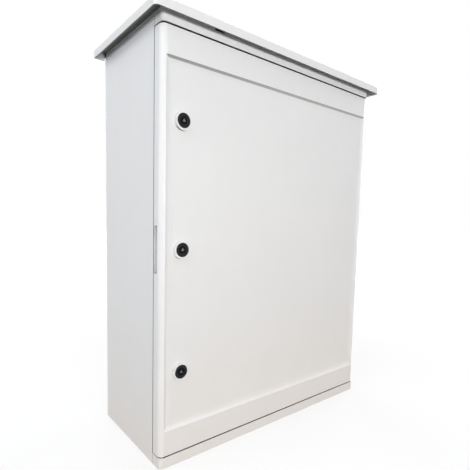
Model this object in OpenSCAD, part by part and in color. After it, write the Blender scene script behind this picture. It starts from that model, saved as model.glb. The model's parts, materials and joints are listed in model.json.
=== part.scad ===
// Outdoor electrical enclosure of moulded polyester, with one door, quarter-turn
// locks, hidden hinges and a rain canopy.
// Frame: origin at the centre of the base, X to the right, front at -Y, Z up, millimetres.

/* [Cabinet] */
// Width of the body and of the door
body_w = 750; // [600:10:1000]
// Height of the body without the canopy
body_h = 1000; // [850:10:1300]
// Depth from the front of the door to the back
body_d = 320; // [250:5:420]
// Wall thickness of the body
wall = 5; // [4:0.5:6]
// Radius of the body's vertical edges
edge_r = 8; // [7:0.5:12]
// Height of the band above the door
band_top = 20.5; // [18:0.5:35]
// Height of the band below the door
band_bottom = 26; // [20:0.5:40]
// Width of the front flange on the lock side
flange_lock = 36; // [34:0.5:38]
// Width of the front flange on the hinge side
flange_hinge = 46; // [44:0.5:60]
// Width of the front flange at the top and the bottom
flange_end = 36; // [30:0.5:50]
// Corner radius of the front opening
opening_r = 12; // [8:0.5:20]
// Thickness of the sealing lip round the opening
lip_t = 3; // [2:0.5:4]
// Height of the sealing lip
lip_h = 15; // [13:0.5:16]

/* [Door] */
// Depth of the door's skirt
door_d = 33; // [31:0.5:40]
// Wall thickness of the door
door_t = 4; // [3:0.5:5]
// Gap between the door and the band above it
gap_top = 3; // [1:0.5:5]
// Gap between the door and the band below it
gap_bottom = 2; // [1:0.5:5]
// Gap between the door's skirt and the body
gap_side = 2; // [2:0.5:4]
// Radius of the door's upright front edges
door_r = 16; // [8:0.5:18]
// Radius of the door's level front edges
door_end_r = 2.5; // [1:0.5:4]
// Depth of the recessed panel
recess_h = 7; // [4:0.5:8]
// Width of the bead beside the recessed panel
recess_side = 9; // [8:0.5:14]
// Height of the plain band above the recessed panel
recess_top = 60; // [40:0.5:90]
// Height of the plain band below the recessed panel
recess_bottom = 60; // [40:0.5:90]
// Cove radius along the upright sides of the recess
cove_side = 45; // [20:1:60]
// Cove radius along the lower end of the recess
cove_end = 30; // [12:1:60]
// Slope of the step along the upper end of the recess, in degrees
step_slope = 45; // [40:1:75]
// Depth of the cove below that step
cove_h = 2; // [0.5:0.5:3]
// Cove radius below that step
cove_top = 80; // [60:5:150]
// Width of the embossed pad round the middle lock
pad_w = 42; // [36:1:46]
// Height of the embossed pad
pad_h = 203; // [120:1:260]
// Height that the embossed pad stands out
pad_t = 0.6; // [0.4:0.1:1.2]

/* [Finger grip] */
// Height of the grip's opening in the door's skirt
grip_h = 107; // [90:1:140]
// Depth of the grip's opening, measured from the rear edge of the skirt
grip_d = 14; // [12:0.5:18]
// How far the grip reaches into the door
grip_in = 14; // [8:0.5:16]
// Wall thickness of the grip's pocket
grip_t = 3; // [2:0.5:4]

/* [Gasket] */
// Width of the gasket
gasket_w = 8; // [7:0.5:9]
// Thickness of the ribs that hold the gasket
rib_t = 2; // [1.5:0.5:2.5]
// Height of the ribs over the gasket's seat
rib_h = 3; // [2:0.5:4]
// Height of the gasket's seat over the panel's inner face
seat_h = 2; // [1:0.5:3]
// Free space between the gasket and its ribs
gasket_clear = 0.1; // [0.05:0.05:0.2]
// Free space between the gasket and the body's lip
gasket_gap = 0.3; // [0.2:0.1:1]

/* [Locks] */
// Distance of the locks from the left edge of the door
lock_x = 55.5; // [54:0.5:70]
// Distance of the top lock from the top of the body
lock_top_in = 212; // [160:1:280]
// Distance of the bottom lock from the base
lock_bottom_in = 221; // [160:1:280]
// Radius of the raised ring round a lock
boss_r = 21.5; // [18:0.5:23]
// Height of the raised ring
boss_h = 6; // [4:0.5:7]
// Depth of the lock's seat in the raised ring
boss_sink = 4.5; // [3:0.5:5]
// Free space between a lock's head and the raised ring
head_clear = 0.5; // [0.3:0.1:1]
// Radius of a lock's head
head_r = 16; // [15:0.5:17.5]
// Height of a lock's head
head_h = 4.5; // [4:0.5:6]
// Depth of the dish in the head
dish_h = 3; // [2.5:0.5:3.5]
// Radius of the dish in the head
dish_r = 11; // [10.5:0.5:12]
// Radius of the lock's threaded barrel
barrel_r = 9; // [8.5:0.5:9.5]
// Length of the lock's barrel behind the head's seal
barrel_l = 27; // [22:0.5:29]
// Radius of the turning spindle
spindle_r = 6; // [5:0.5:7]
// Radial running clearance of the spindle and the hinge pins
run_clear = 0.05; // [0.03:0.01:0.1]
// Width across the flats of the lock's nut
nut_af = 24; // [23:0.5:24.5]
// Thickness of the lock's nut
nut_t = 4; // [3.5:0.5:6]
// Thickness of the seal under a lock's head
seal_t = 1; // [0.5:0.5:1.5]
// Length of a cam from the spindle's axis
cam_l = 34; // [28:1:40]
// Width of a cam
cam_w = 16; // [14:1:18]
// Thickness of a cam
cam_t = 5; // [3:0.5:6]
// Gap between a turned cam and the body's flange
cam_gap = 1.5; // [0.5:0.1:2.5]
// Side of the spindle's square end
square_w = 7; // [6.5:0.5:8]
// Bevel at the rim of a lock's head
head_edge = 1.5; // [0.5:0.5:2]
// Radius of the spindle's disc in the dish
disc_r = 8.5; // [7.5:0.5:10]
// Thickness of the spindle's disc
disc_t = 1.2; // [0.8:0.1:1.4]
// Corner radius of the three-sided key
key_r = 4.6; // [3.5:0.1:5.5]
// Radius of the screw that holds a cam
cam_screw_r = 2.5; // [2:0.25:2.75]

/* [Hinges] */
// Distance of the upper hinge from the top of the body
hinge_top_in = 310; // [160:1:360]
// Distance of the lower hinge from the base
hinge_bottom_in = 316; // [160:1:360]
// Distance of the hinge axis from the right side
hinge_in = 8; // [7.5:0.5:8.5]
// Distance of the hinge axis behind the door's front
hinge_back = 12; // [12:0.5:14]
// Height of a hinge
hinge_h = 50; // [44:1:60]
// Radius of a hinge's knuckles
knuckle_r = 6; // [5.5:0.5:6.5]
// Radius of the hinge pin
pin_r = 3; // [2.5:0.5:3.5]
// Height of the middle knuckle
knuckle_h = 20; // [16:1:24]
// Axial gap between the knuckles
knuckle_gap = 0.3; // [0.2:0.1:0.5]
// Plate thickness of the hinge
leaf_t = 4; // [3:0.5:4.5]
// Thickness of the arm that carries the middle knuckle
arm_t = 6.5; // [5:0.5:7]
// Height of the moulded pad under a door leaf
leaf_pad = 2; // [1:0.5:3]
// Free space between the hinge and the cut-out in the skirt
cutout_clear = 1.5; // [1:0.5:2]
// Radius of the hinge screws
hinge_screw_r = 2; // [1.5:0.25:2.25]

/* [Canopy] */
// Overhang of the canopy at the front
over_front = 22; // [15:1:40]
// Overhang of the canopy at each side
over_side = 28; // [15:1:40]
// Height of the canopy's fascia
fascia_h = 20; // [16:1:30]
// Height of the canopy's top over the body
canopy_rise = 13; // [11:0.5:20]
// Wall thickness of the canopy
canopy_t = 4; // [3:0.5:5]
// Radius of the canopy's front corners
canopy_r = 10; // [6:1:20]
// Radius of the canopy's top edges
canopy_top_r = 3; // [1:0.5:4]
// Thickness of the rim that stands on the body
rim_t = 3; // [2:0.5:4]
// Setback of the rim from the body's faces
rim_in = 2; // [1:0.5:4]
// Height of the ventilation gap under the side rims
vent_h = 3; // [2:0.5:5]
// Width of the notch in the front rim
rim_notch_w = 28; // [10:1:60]
// Distance of the notch from the left side of the body
rim_notch_x = 135; // [100:1:300]
// Radius of the canopy's screw bosses
canopy_boss_r = 8; // [6:0.5:10]
// Radius of the canopy's screws
canopy_screw_r = 1.9; // [1.5:0.1:2.5]
// Distance of the canopy's screws from the sides
canopy_screw_x = 60; // [50:1:100]
// Distance of the canopy's screws from the flange and the back
canopy_screw_y = 40; // [30:1:70]
// Length of the rim's feet beside the ventilation gaps
vent_foot = 16; // [10:1:40]

/* [Mounting plate] */
// Distance of the plate from the side walls
plate_side = 45; // [30:1:80]
// Distance of the plate from the top and the bottom of the body
plate_end = 95; // [80:1:140]
// Thickness of the plate
plate_t = 2.5; // [2:0.5:4]
// Corner radius of the plate
plate_r = 8; // [4:1:20]
// Height of the bosses that carry the plate
plate_boss_h = 15; // [12:1:30]
// Radius of those bosses
plate_boss_r = 9; // [8:0.5:12]
// Distance of the plate's screws from its edges
plate_screw_in = 25; // [18:1:40]
// Radius of the plate's screws
plate_screw_r = 3; // [2.5:0.25:4]

/* [Wall fixing] */
// Distance between the fixing holes across the back
fix_w = 600; // [400:10:640]
// Distance of the fixing holes from the top and the bottom
fix_end = 50; // [35:1:70]
// Radius of the fixing holes
fix_r = 5; // [4:0.25:6.5]

/* [Hidden] */
$fn = 64;

// Overlap of joined volumes and overshoot of cuts
eps = 0.5;
// Radial clearance of screws in their holes
screw_clear = 0.05;
// Free space under the parts that turn
turn_gap = 0.1;
// Free space between the canopy's back wall and the sides of the body
canopy_clear = 1;
// Corner radius of the embossed pad
pad_corner_r = 4;

// Shares of a screw's radius: its pan head's radius and height, a nut's width and thickness,
// a washer's radius, and the screw's end past a nut's seat
pan_head = 2.2;
pan_top = 1.4;
hex_af = 3.5;
hex_t = 1.6;
washer_r = 2.5;
screw_end = 2.5;
// Shares of a pan head: height of its straight side, radius of its flat top
pan_side = 0.5;
pan_flat = 0.7;
// Radius of a hinge pin's head as a share of the pin's radius
pin_head = 1.5;

// Colours of the materials
shell_grey = "#e4e5e2";
lock_black = "#1b1b1c";
rubber_black = "#26282a";
zinc = "#b9bcbd";
steel = "#c3c6c8";

// Depths from the front to the back
y_front = -body_d / 2;
y_back = body_d / 2;
y_skirt = y_front + door_d;
y_flange = y_skirt + gap_side;
y_flange_back = y_flange + wall;
y_lip = y_flange - lip_h;
y_panel = y_front + recess_h;
y_inner = y_panel + door_t;
y_seat = y_inner + seat_h;
y_ring = y_panel - boss_h;
y_boss = y_ring + boss_sink;
y_back_inner = y_back - wall;

// Heights of the door and of its bay in the body
bay_top = body_h - band_top;
door_bottom = band_bottom + gap_bottom;
door_top = bay_top - gap_top;
door_h = door_top - door_bottom;

// Edges of the front opening
open_left = -body_w / 2 + flange_lock;
open_right = body_w / 2 - flange_hinge;
open_bottom = band_bottom + flange_end;
open_top = bay_top - flange_end;

// Gasket measured outwards from the edge of the opening
gasket_out = lip_t / 2 + gasket_w / 2;
gasket_in = lip_t / 2 - gasket_w / 2;
rib_out = gasket_out + gasket_clear + rib_t;
rib_in = gasket_in - gasket_clear - rib_t;

// Places of the locks and the hinges
lock_left = -body_w / 2 + lock_x;
lock_top = body_h - lock_top_in;
lock_middle = (lock_top + lock_bottom_in) / 2;
lock_places = [lock_top, lock_middle, lock_bottom_in];
y_head = y_boss - seal_t;
hinge_x = body_w / 2 - hinge_in;
hinge_y = y_front + hinge_back;
hinge_places = [body_h - hinge_top_in, hinge_bottom_in];
cam_front = y_flange_back + cam_gap;
cam_back = cam_front + cam_t;

// Hinge plates, from the gasket's rib or the lip out to the axis
leaf_left = open_right + rib_out + eps;
arm_right = hinge_x - knuckle_r / 2;
arm_left = arm_right - arm_t;
leaf_right = arm_left - cutout_clear;
bracket_left = open_right + lip_t + eps;
leaf_seat = y_inner + leaf_pad;
leaf_screw_x = (leaf_left + leaf_right) / 2;
bracket_screw_x = (bracket_left + arm_left) / 2;
hinge_screw_z = hinge_h / 2 - pan_head * hinge_screw_r - 2 * eps;
cutout_h = hinge_h + 2 * leaf_t;

// Canopy
canopy_top = body_h + canopy_rise;
canopy_ceiling = canopy_top - canopy_t;
fascia_bottom = canopy_top - fascia_h;
canopy_w = body_w + 2 * over_side;
canopy_d = body_d + over_front;
canopy_mid = -over_front / 2;
canopy_screw_places = [
    for (side = [-1, 1])
        for (y = [y_flange_back + canopy_screw_y, y_back_inner - canopy_screw_y])
            [side * (body_w / 2 - canopy_screw_x), y]
];

// Mounting plate
plate_back = y_back_inner - plate_boss_h;
plate_front = plate_back - plate_t;
plate_half = body_w / 2 - wall - plate_side;
washer_t = plate_screw_r / 2;
plate_screw_places = [
    for (side = [-1, 1])
        for (z = [plate_end + plate_screw_in, body_h - plate_end - plate_screw_in])
            [side * (plate_half - plate_screw_in), z]
];

// Rectangle with round corners
module round_rect(w, h, r) {
    square([w - 2 * r, h], center = true);
    square([w, h - 2 * r], center = true);
    for (sx = [-1, 1])
        for (sy = [-1, 1])
            translate([sx * (w / 2 - r), sy * (h / 2 - r)])
                circle(r = r);
}

// Outline of width w and depth d, with its front corners round
module front_rounded(w, d, r) {
    translate([r - w / 2, 0])
        square([w - 2 * r, d]);
    translate([-w / 2, r])
        square([w, d - r]);
    for (side = [-1, 1])
        translate([side * (w / 2 - r), r])
            circle(r = r);
}

// Run of a cove of radius r and this depth that flows into a flat floor
function cove_run(r, depth) = sqrt(r * r - (r - depth) * (r - depth));

// Section of a recess of width w whose floor meets its sides in coves
module cove_section(w, depth, r) {
    run = cove_run(r, depth);
    intersection() {
        translate([-w / 2, -depth])
            square([w, 2 * depth]);
        union() {
            translate([run - w / 2, -depth])
                square([w - 2 * run, 2 * depth]);
            for (side = [-1, 1])
                translate([side * (w / 2 - run), depth - r])
                    circle(r = r);
        }
    }
}

// Extrudes an outline seen from the front, from depth y0 back to depth y1
module upright(y0, y1) {
    translate([0, y1, 0])
        rotate([90, 0, 0])
            linear_extrude(height = y1 - y0)
                children();
}

// Extrudes an outline of depth and height over the width w
module across(w) {
    translate([-w / 2, 0, 0])
        rotate([90, 0, 90])
            linear_extrude(height = w)
                children();
}

// Round bar along Y
module bar_y(r, y0, y1) {
    translate([0, y1, 0])
        rotate([90, 0, 0])
            cylinder(r = r, h = y1 - y0);
}

// Box between two corners
module box(low, high) {
    translate(low)
        cube(high - low);
}

// Plate as large as the front opening, grown outwards all round
module opening_plate(grow, y0, y1) {
    w = open_right - open_left + 2 * grow;
    h = open_top - open_bottom + 2 * grow;
    upright(y0, y1)
        translate([(open_left + open_right) / 2, (open_bottom + open_top) / 2])
            round_rect(w, h, opening_r + grow);
}

// Frame round the front opening
module opening_frame(outside, inside, y0, y1) {
    difference() {
        opening_plate(outside, y0, y1);
        opening_plate(inside, y0 - eps, y1 + eps);
    }
}

// Pan-headed screw along Z: the head stands up from the origin, the shank hangs down
module pan_screw(r, length) {
    head = pan_head * r;
    top = pan_top * r;
    rotate_extrude()
        polygon([
            [0, -length], [r, -length], [r, 0], [head, 0],
            [head, pan_side * top], [pan_flat * head, top], [0, top]
        ]);
}

// Hexagon nut along Y, one pair of flats facing the sides
module hex_nut(af, bore_r, y0, y1) {
    difference() {
        translate([0, y1, 0])
            rotate([90, 0, 0])
                rotate(30)
                    cylinder(r = af / 2 / cos(30), h = y1 - y0, $fn = 6);
        bar_y(bore_r, y0 - eps, y1 + eps);
    }
}

// Moulded tub whose bands lie flush with the door above and below it
module body_shell() {
    inner_w = body_w - 2 * wall;
    inner_r = edge_r - wall;
    chamber_d = y_back_inner - y_flange_back;
    band_d = y_flange_back + inner_r + eps - y_front - wall;
    difference() {
        linear_extrude(height = body_h)
            round_rect(body_w, body_d, edge_r);
        box([-body_w, y_flange - body_d, band_bottom], [body_w, y_flange, bay_top]);
        translate([0, (y_flange_back + y_back_inner) / 2, wall])
            linear_extrude(height = body_h - 2 * wall)
                round_rect(inner_w, chamber_d, inner_r);
        translate([0, y_front + wall, wall])
            linear_extrude(height = band_bottom - 2 * wall)
                front_rounded(inner_w, band_d, inner_r);
        translate([0, y_front + wall, bay_top + wall])
            linear_extrude(height = band_top - 2 * wall)
                front_rounded(inner_w, band_d, inner_r);
    }
}

// Bores for the screws of both hinge brackets
module bracket_screw_bores(y0, y1) {
    for (z = hinge_places)
        for (side = [-1, 1])
            translate([bracket_screw_x, 0, z + side * hinge_screw_z])
                bar_y(hinge_screw_r + screw_clear, y0, y1);
}

module body() {
    color(shell_grey)
        difference() {
            union() {
                body_shell();
                opening_frame(lip_t, 0, y_lip, y_flange + eps);
                for (p = plate_screw_places)
                    translate([p[0], 0, p[1]])
                        bar_y(plate_boss_r, plate_back, y_back_inner + eps);
            }
            opening_plate(0, y_flange - eps, y_flange_back + eps);
            for (p = plate_screw_places)
                translate([p[0], 0, p[1]])
                    bar_y(plate_screw_r + screw_clear, plate_back - eps, y_back_inner);
            for (side = [-1, 1])
                for (z = [fix_end, body_h - fix_end])
                    translate([side * fix_w / 2, 0, z])
                        bar_y(fix_r, y_back_inner - eps, y_back + eps);
            for (p = canopy_screw_places)
                translate([p[0], p[1], body_h - wall - eps])
                    cylinder(r = canopy_screw_r + screw_clear, h = wall + 2 * eps);
            bracket_screw_bores(y_flange - eps, y_flange_back + eps);
        }
}

// Outer form of the canopy, its top edges round
module canopy_block() {
    intersection() {
        translate([0, y_front - over_front, fascia_bottom])
            linear_extrude(height = fascia_h)
                front_rounded(canopy_w, canopy_d, canopy_r);
        upright(y_front - over_front - eps, y_back + eps)
            translate([0, canopy_top])
                rotate(180)
                    front_rounded(canopy_w, fascia_h, canopy_top_r);
        across(canopy_w + 2 * eps)
            translate([canopy_mid, canopy_top])
                rotate(180)
                    front_rounded(canopy_d, fascia_h, canopy_top_r);
    }
}

// Rim that stands on the body, with ventilation gaps along both sides and a notch in front
module canopy_rim() {
    rim_w = body_w - 2 * rim_in;
    rim_d = body_d - 2 * rim_in;
    rim_r = edge_r - rim_in;
    rim_h = canopy_rise - canopy_t;
    vent_end = y_back - rim_in - vent_foot;
    notch_left = -body_w / 2 + rim_notch_x;
    difference() {
        translate([0, 0, body_h])
            linear_extrude(height = rim_h + eps)
                round_rect(rim_w, rim_d, rim_r);
        translate([0, 0, body_h - eps])
            linear_extrude(height = rim_h + 3 * eps)
                round_rect(rim_w - 2 * rim_t, rim_d - 2 * rim_t, rim_r - rim_t);
        box([-body_w, -vent_end, body_h - eps], [body_w, vent_end, body_h + vent_h]);
        box([notch_left, y_front, body_h - eps], [notch_left + rim_notch_w, 0, body_h + rim_h]);
    }
}

// Rain canopy: a tray turned over, open towards the body at the back
module canopy() {
    inner_w = canopy_w - 2 * canopy_t;
    inner_d = canopy_d - 2 * canopy_t;
    inner_h = canopy_ceiling - fascia_bottom;
    clear_x = body_w / 2 + canopy_clear;
    boss_top = canopy_rise - canopy_t;
    color(shell_grey)
        difference() {
            union() {
                difference() {
                    canopy_block();
                    translate([0, y_front - over_front + canopy_t, fascia_bottom - eps])
                        linear_extrude(height = inner_h + eps)
                            front_rounded(inner_w, inner_d, canopy_r - canopy_t);
                    box([-clear_x, 0, fascia_bottom - eps], [clear_x, body_d, body_h]);
                }
                canopy_rim();
                for (p = canopy_screw_places)
                    translate([p[0], p[1], body_h])
                        cylinder(r = canopy_boss_r, h = boss_top + eps);
            }
            for (p = canopy_screw_places)
                translate([p[0], p[1], body_h - eps])
                    cylinder(r = canopy_screw_r + screw_clear, h = boss_top + 2 * eps);
        }
}

// Screws from inside the body up into the canopy's bosses
module canopy_screws() {
    color(zinc)
        for (p = canopy_screw_places)
            translate([p[0], p[1], body_h - wall])
                rotate([180, 0, 0])
                    pan_screw(canopy_screw_r, wall + canopy_rise - canopy_t);
}

// Outer form of the door, its front edges round
module door_block() {
    intersection() {
        translate([0, y_front, door_bottom])
            linear_extrude(height = door_h)
                front_rounded(body_w, door_d, door_r);
        across(body_w + 2 * eps)
            translate([y_front, (door_bottom + door_top) / 2])
                rotate(-90)
                    front_rounded(door_h, door_d + eps, door_end_r);
    }
}

// Depth and height of the recess: a cove along its lower end, a step and a cove along its upper end
module recess_profile() {
    low = door_bottom + recess_bottom;
    high = door_top - recess_top;
    step_run = (recess_h - cove_h) / tan(step_slope);
    cove_low = low + cove_run(cove_end, recess_h);
    cove_high = high - step_run - cove_run(cove_top, cove_h);
    intersection() {
        polygon([
            [y_front - recess_h, low], [y_panel, low], [y_panel, high - recess_h / tan(step_slope)],
            [y_front, high], [y_front - recess_h, high]
        ]);
        union() {
            translate([y_front - recess_h, cove_low])
                square([2 * recess_h, cove_high - cove_low]);
            translate([y_panel - cove_end, cove_low])
                circle(r = cove_end);
            translate([y_panel - cove_top, cove_high])
                circle(r = cove_top);
        }
    }
}

// Recess of the door's panel
module door_recess() {
    intersection() {
        translate([0, y_front, door_bottom])
            linear_extrude(height = door_h)
                cove_section(body_w - 2 * recess_side, recess_h, cove_side);
        across(body_w)
            recess_profile();
    }
}

// Hollow back of the door: over the panel, and deeper behind the bands above and below it
module door_hollow() {
    half = body_w / 2 - door_t;
    low = door_bottom + door_t;
    high = door_top - door_t;
    y_band = y_front + door_t;
    band_half = body_w / 2 - door_r;
    box([-half, y_inner, low], [half, y_skirt + eps, high]);
    box([-band_half, y_band, low], [band_half, y_inner + eps, door_bottom + recess_bottom - door_t]);
    box([-band_half, y_band, door_top - recess_top + door_t], [band_half, y_inner + eps, high]);
}

// Channel that holds the gasket
module gasket_channel() {
    opening_frame(rib_out, rib_in, y_front + door_t - eps, y_seat);
    opening_frame(rib_out, rib_out - rib_t, y_seat - eps, y_seat + rib_h);
    opening_frame(rib_in + rib_t, rib_in, y_seat - eps, y_seat + rib_h);
}

// Pocket for the fingers in the left skirt, grown by the thickness of its wall
module grip_pocket(grow, over) {
    left = -body_w / 2;
    box([left - over, y_skirt - grip_d - grow, lock_middle - grip_h / 2 - grow],
        [left + grip_in + grow, y_skirt + over, lock_middle + grip_h / 2 + grow]);
}

// Room for one hinge's knuckles and arm in the door's right skirt
module hinge_cutout() {
    half = cutout_h / 2;
    r = knuckle_r + cutout_clear;
    translate([hinge_x, hinge_y, -half])
        cylinder(r = r, h = cutout_h);
    box([hinge_x, hinge_y - r, -half], [body_w / 2 + eps, y_skirt + eps, half]);
}

// Pads moulded on the door under both hinge leaves
module leaf_pads() {
    for (z = hinge_places)
        box([leaf_left, y_inner - eps, z - hinge_h / 2], [leaf_right, leaf_seat, z + hinge_h / 2]);
}

// Bores for the screws of both hinge leaves
module leaf_screw_bores(y0, y1) {
    for (z = hinge_places)
        for (side = [-1, 1])
            translate([leaf_screw_x, 0, z + side * hinge_screw_z])
                bar_y(hinge_screw_r + screw_clear, y0, y1);
}

module door() {
    color(shell_grey)
        difference() {
            union() {
                difference() {
                    union() {
                        difference() {
                            door_block();
                            door_hollow();
                        }
                        gasket_channel();
                    }
                    door_recess();
                }
                leaf_pads();
                grip_pocket(grip_t, 0);
                for (z = lock_places)
                    translate([lock_left, 0, z])
                        bar_y(boss_r, y_ring, y_inner);
                upright(y_panel - pad_t, y_panel + eps)
                    translate([lock_left, lock_middle])
                        round_rect(pad_w, pad_h, pad_corner_r);
            }
            grip_pocket(0, eps);
            for (z = lock_places)
                translate([lock_left, 0, z]) {
                    bar_y(head_r + head_clear, y_ring - eps, y_boss);
                    bar_y(barrel_r + screw_clear, y_boss - eps, y_inner + eps);
                }
            for (z = hinge_places)
                translate([0, 0, z])
                    hinge_cutout();
            leaf_screw_bores(y_panel + door_t / 4, leaf_seat + eps);
        }
}

// Soft seal in the door's channel
module door_gasket() {
    color(rubber_black)
        opening_frame(gasket_out, gasket_in, y_seat, y_lip - gasket_gap);
}

// Hinge bracket on the body's flange: base, arm and middle knuckle
module hinge_bracket(z) {
    half = hinge_h / 2;
    color(zinc)
        difference() {
            translate([0, 0, z])
                union() {
                    box([bracket_left, y_flange - leaf_t, -half], [arm_right, y_flange, half]);
                    box([arm_left, hinge_y, -knuckle_h / 2], [arm_right, y_flange, knuckle_h / 2]);
                    translate([hinge_x, hinge_y, -knuckle_h / 2])
                        cylinder(r = knuckle_r, h = knuckle_h);
                }
            translate([hinge_x, hinge_y, z - hinge_h])
                cylinder(r = pin_r + run_clear, h = 2 * hinge_h);
            bracket_screw_bores(y_flange - leaf_t - eps, y_flange + eps);
        }
}

// Hinge leaf on the door: plate and the two outer knuckles
module hinge_leaf(z) {
    half = hinge_h / 2;
    ear_low = knuckle_h / 2 + knuckle_gap;
    ear_h = half - ear_low;
    color(zinc)
        difference() {
            translate([0, 0, z])
                union() {
                    box([leaf_left, leaf_seat, -half], [leaf_right, leaf_seat + leaf_t, half]);
                    for (low = [ear_low, -half]) {
                        box([leaf_left, leaf_seat, low], [hinge_x, leaf_seat + leaf_t, low + ear_h]);
                        translate([hinge_x, hinge_y, low])
                            cylinder(r = knuckle_r, h = ear_h);
                    }
                }
            translate([hinge_x, hinge_y, z - hinge_h])
                cylinder(r = pin_r + run_clear, h = 2 * hinge_h);
            leaf_screw_bores(leaf_seat - eps, leaf_seat + leaf_t + eps);
        }
}

// Hinge pin, its head on the upper knuckle
module hinge_pin(z) {
    half = hinge_h / 2;
    head_r = pin_head * pin_r;
    head_top = half + leaf_t / 2;
    color(steel)
        translate([hinge_x, hinge_y, z])
            rotate_extrude()
                polygon([
                    [0, -half], [pin_r, -half], [pin_r, half],
                    [head_r, half], [head_r, head_top], [0, head_top]
                ]);
}

// Screws through the brackets and the flange
module hinge_bracket_screws() {
    color(zinc)
        for (z = hinge_places)
            for (side = [-1, 1])
                translate([bracket_screw_x, y_flange - leaf_t, z + side * hinge_screw_z])
                    rotate([90, 0, 0])
                        pan_screw(hinge_screw_r, leaf_t + wall + screw_end * hinge_screw_r);
}

// Nuts of those screws behind the flange
module hinge_bracket_nuts() {
    color(zinc)
        for (z = hinge_places)
            for (side = [-1, 1])
                translate([bracket_screw_x, 0, z + side * hinge_screw_z])
                    hex_nut(hex_af * hinge_screw_r, hinge_screw_r + screw_clear,
                        y_flange_back, y_flange_back + hex_t * hinge_screw_r);
}

// Screws through the leaves into the door
module hinge_leaf_screws() {
    color(zinc)
        for (z = hinge_places)
            for (side = [-1, 1])
                translate([leaf_screw_x, leaf_seat + leaf_t, z + side * hinge_screw_z])
                    rotate([-90, 0, 0])
                        pan_screw(hinge_screw_r, leaf_t + leaf_pad + door_t / 2);
}

// Lock housing: a dished head and a threaded barrel through the door
module lock_housing(z) {
    bore = spindle_r + run_clear;
    floor_h = head_h - dish_h;
    color(lock_black)
        translate([lock_left, y_head, z])
            rotate([90, 0, 0])
                rotate_extrude()
                    polygon([
                        [bore, -barrel_l], [barrel_r, -barrel_l], [barrel_r, 0], [head_r, 0],
                        [head_r, head_h - head_edge], [head_r - head_edge, head_h],
                        [dish_r, head_h], [dish_r, floor_h], [bore, floor_h]
                    ]);
}

// Flat seal between a lock's head and the door
module lock_seal(z) {
    color(rubber_black)
        translate([lock_left, 0, z])
            difference() {
                bar_y(head_r - head_edge, y_head, y_boss);
                bar_y(barrel_r + screw_clear, y_head - eps, y_boss + eps);
            }
}

// Nut that holds a lock in the door
module lock_nut(z) {
    color(zinc)
        translate([lock_left, 0, z])
            hex_nut(nut_af, barrel_r + screw_clear, y_inner, y_inner + nut_t);
}

// Spindle of a lock: a disc with a three-sided key in the dish, a shaft and a square end
module lock_spindle(z) {
    floor_h = head_h - dish_h + turn_gap;
    disc_h = floor_h + disc_t;
    shaft_h = y_head - cam_front;
    color(steel)
        translate([lock_left, 0, z])
            difference() {
                union() {
                    translate([0, y_head, 0])
                        rotate([90, 0, 0])
                            rotate_extrude()
                                polygon([
                                    [0, shaft_h], [spindle_r, shaft_h], [spindle_r, floor_h],
                                    [disc_r, floor_h], [disc_r, disc_h], [0, disc_h]
                                ]);
                    translate([0, y_head - disc_h + eps, 0])
                        rotate([90, 0, 0])
                            rotate(90)
                                cylinder(r = key_r, h = head_h - disc_h + eps - turn_gap, $fn = 3);
                    box([-square_w / 2, cam_front - eps, -square_w / 2],
                        [square_w / 2, cam_back, square_w / 2]);
                }
                bar_y(cam_screw_r + screw_clear, cam_back - 2 * cam_t - eps, cam_back + eps);
            }
}

// Cam of a lock, pointing up while the lock is open
module lock_cam(z) {
    hole = square_w + 2 * screw_clear;
    straight = cam_l - cam_w / 2;
    color(zinc)
        translate([lock_left, 0, z])
            upright(cam_front, cam_back)
                difference() {
                    union() {
                        circle(r = cam_w / 2);
                        translate([-cam_w / 2, 0])
                            square([cam_w, straight]);
                        translate([0, straight])
                            circle(r = cam_w / 2);
                    }
                    square([hole, hole], center = true);
                }
}

// Screw that holds a cam on its spindle
module cam_screw(z) {
    color(zinc)
        translate([lock_left, cam_back, z])
            rotate([-90, 0, 0])
                pan_screw(cam_screw_r, 2 * cam_t);
}

// Plate for the equipment, on the bosses of the back wall
module mounting_plate() {
    color(steel)
        upright(plate_front, plate_back)
            difference() {
                translate([0, body_h / 2])
                    round_rect(2 * plate_half, body_h - 2 * plate_end, plate_r);
                for (p = plate_screw_places)
                    translate(p)
                        circle(r = plate_screw_r + screw_clear);
            }
}

module plate_washers() {
    color(zinc)
        for (p = plate_screw_places)
            translate([p[0], 0, p[1]])
                difference() {
                    bar_y(washer_r * plate_screw_r, plate_front - washer_t, plate_front);
                    bar_y(plate_screw_r + screw_clear, plate_front - washer_t - eps, plate_front + eps);
                }
}

module plate_screws() {
    color(zinc)
        for (p = plate_screw_places)
            translate([p[0], plate_front - washer_t, p[1]])
                rotate([90, 0, 0])
                    pan_screw(plate_screw_r, washer_t + plate_t + plate_boss_h - 2 * eps);
}

body();
canopy();
canopy_screws();
door();
door_gasket();
hinge_bracket(hinge_places[0]);  // hinge_bracket_upper
hinge_bracket(hinge_places[1]);  // hinge_bracket_lower
hinge_leaf(hinge_places[0]);  // hinge_leaf_upper
hinge_leaf(hinge_places[1]);  // hinge_leaf_lower
hinge_pin(hinge_places[0]);  // hinge_pin_upper
hinge_pin(hinge_places[1]);  // hinge_pin_lower
hinge_bracket_screws();
hinge_bracket_nuts();
hinge_leaf_screws();
lock_housing(lock_places[0]);  // lock_housing_top
lock_housing(lock_places[1]);  // lock_housing_middle
lock_housing(lock_places[2]);  // lock_housing_bottom
lock_seal(lock_places[0]);  // lock_seal_top
lock_seal(lock_places[1]);  // lock_seal_middle
lock_seal(lock_places[2]);  // lock_seal_bottom
lock_nut(lock_places[0]);  // lock_nut_top
lock_nut(lock_places[1]);  // lock_nut_middle
lock_nut(lock_places[2]);  // lock_nut_bottom
lock_spindle(lock_places[0]);  // lock_spindle_top
lock_spindle(lock_places[1]);  // lock_spindle_middle
lock_spindle(lock_places[2]);  // lock_spindle_bottom
lock_cam(lock_places[0]);  // lock_cam_top
lock_cam(lock_places[1]);  // lock_cam_middle
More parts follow.
